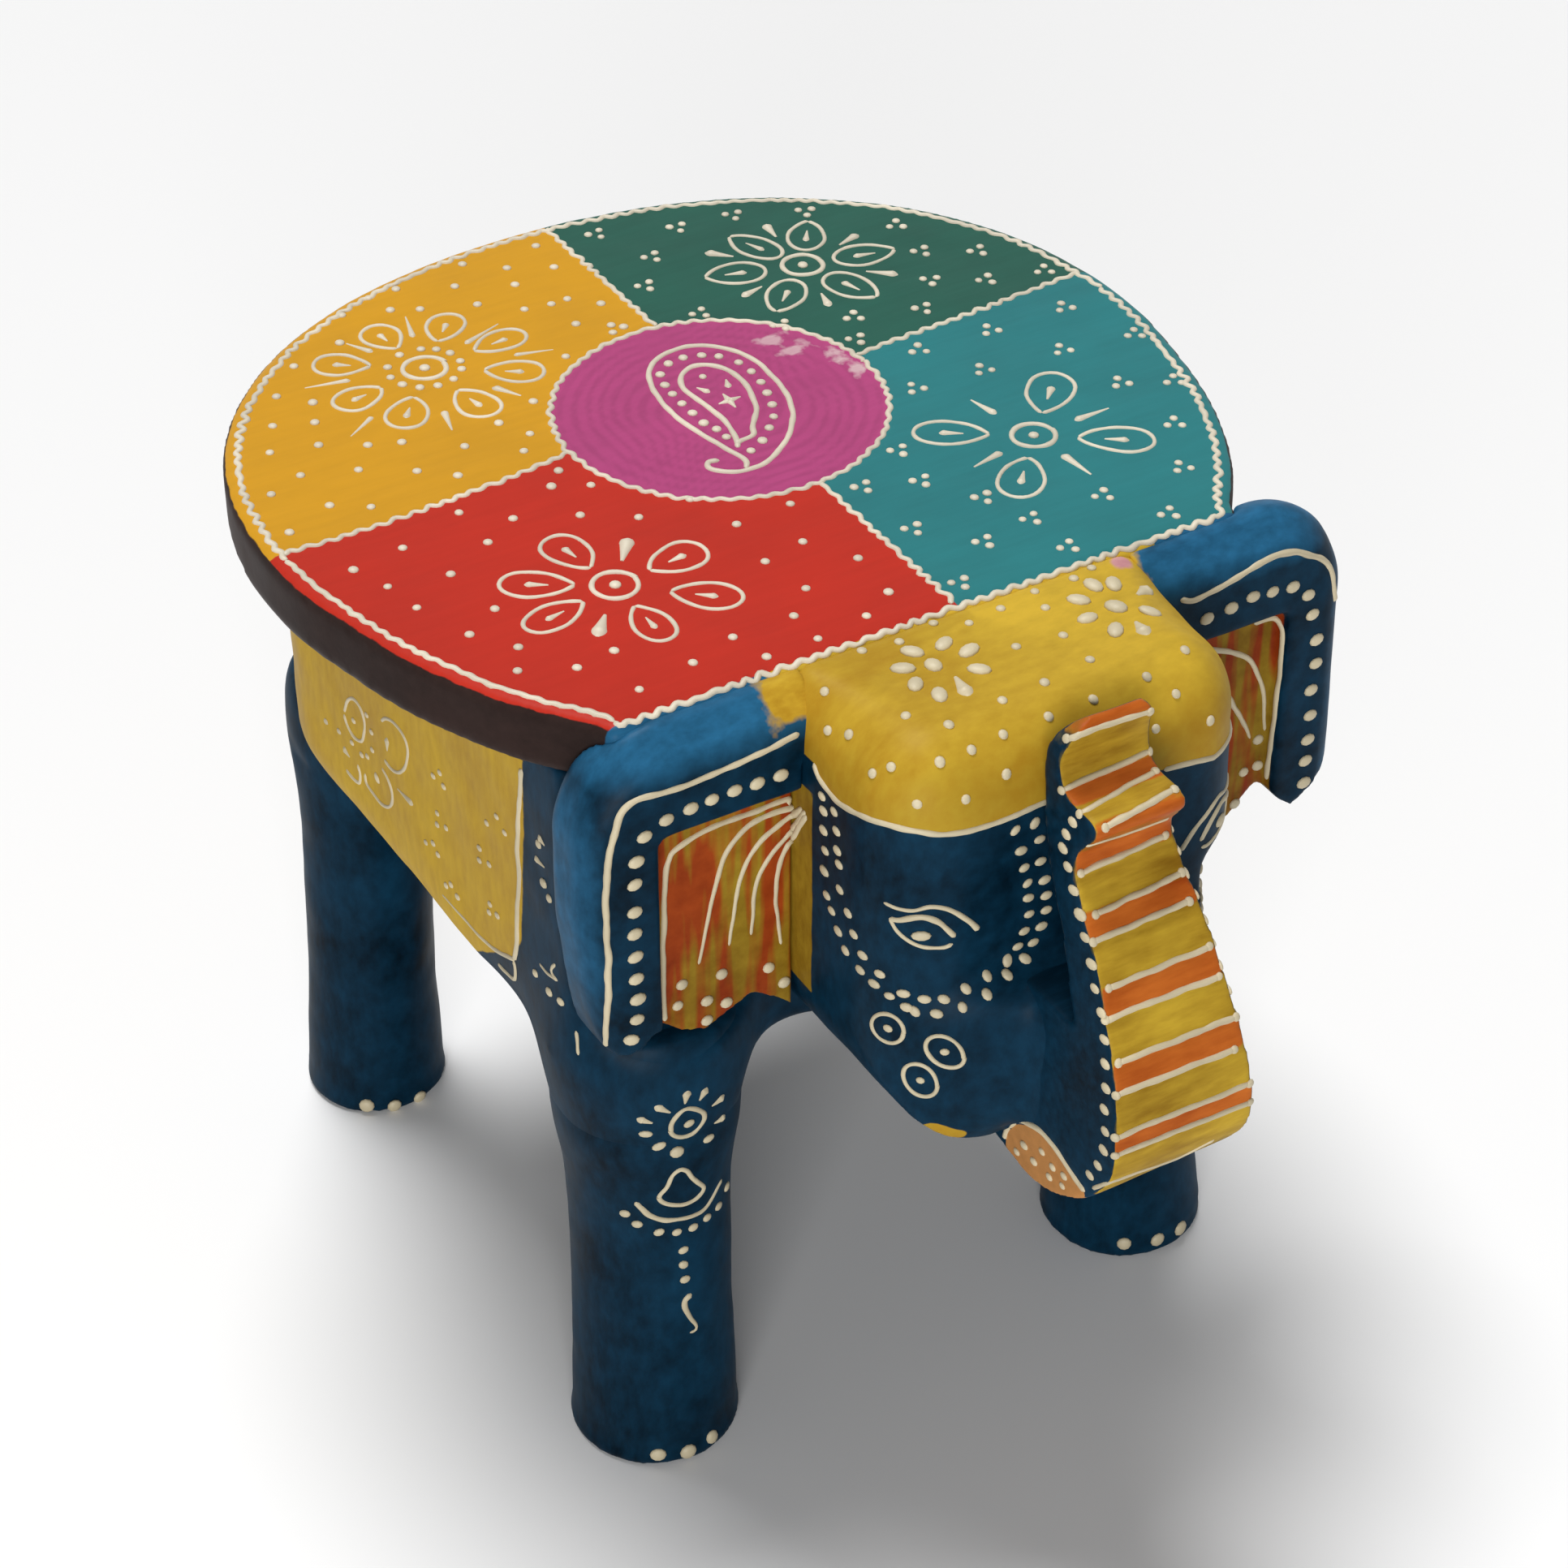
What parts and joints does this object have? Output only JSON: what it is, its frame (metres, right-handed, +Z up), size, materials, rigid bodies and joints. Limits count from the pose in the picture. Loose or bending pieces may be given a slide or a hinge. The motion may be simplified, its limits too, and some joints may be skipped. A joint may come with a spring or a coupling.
{
  "type": "carved elephant stool",
  "caption": "Low carved wooden stool in the shape of an elephant, with a flat rounded seat board on its back and raised dot ornament.",
  "frame": {"origin": "centre of the stool's outer box, on the floor under the feet", "axes": "+Z up, the elephant faces -Y, its own left side is +X; x = 0 is the seat board's middle"},
  "size_m": [0.202, 0.2534, 0.2054],
  "materials": {
    "seat_paint": "painted, satin",
    "body_paint": "painted, satin",
    "trunk_paint": "painted, satin",
    "bare_wood": "sawn"
  },
  "bodies": {
    "root": {"seat_top": "seat_paint", "torso": "body_paint", "head": "body_paint", "trunk": "trunk_paint", "ear_right": "body_paint", "ear_left": "body_paint", "leg_front_right": "body_paint", "leg_front_left": "body_paint", "leg_back_right": "body_paint", "leg_back_left": "body_paint", "seat_dowels": "bare_wood", "head_dowels": "bare_wood", "ear_dowels": "bare_wood", "trunk_dowels": "bare_wood"}
  },
  "joints": []
}
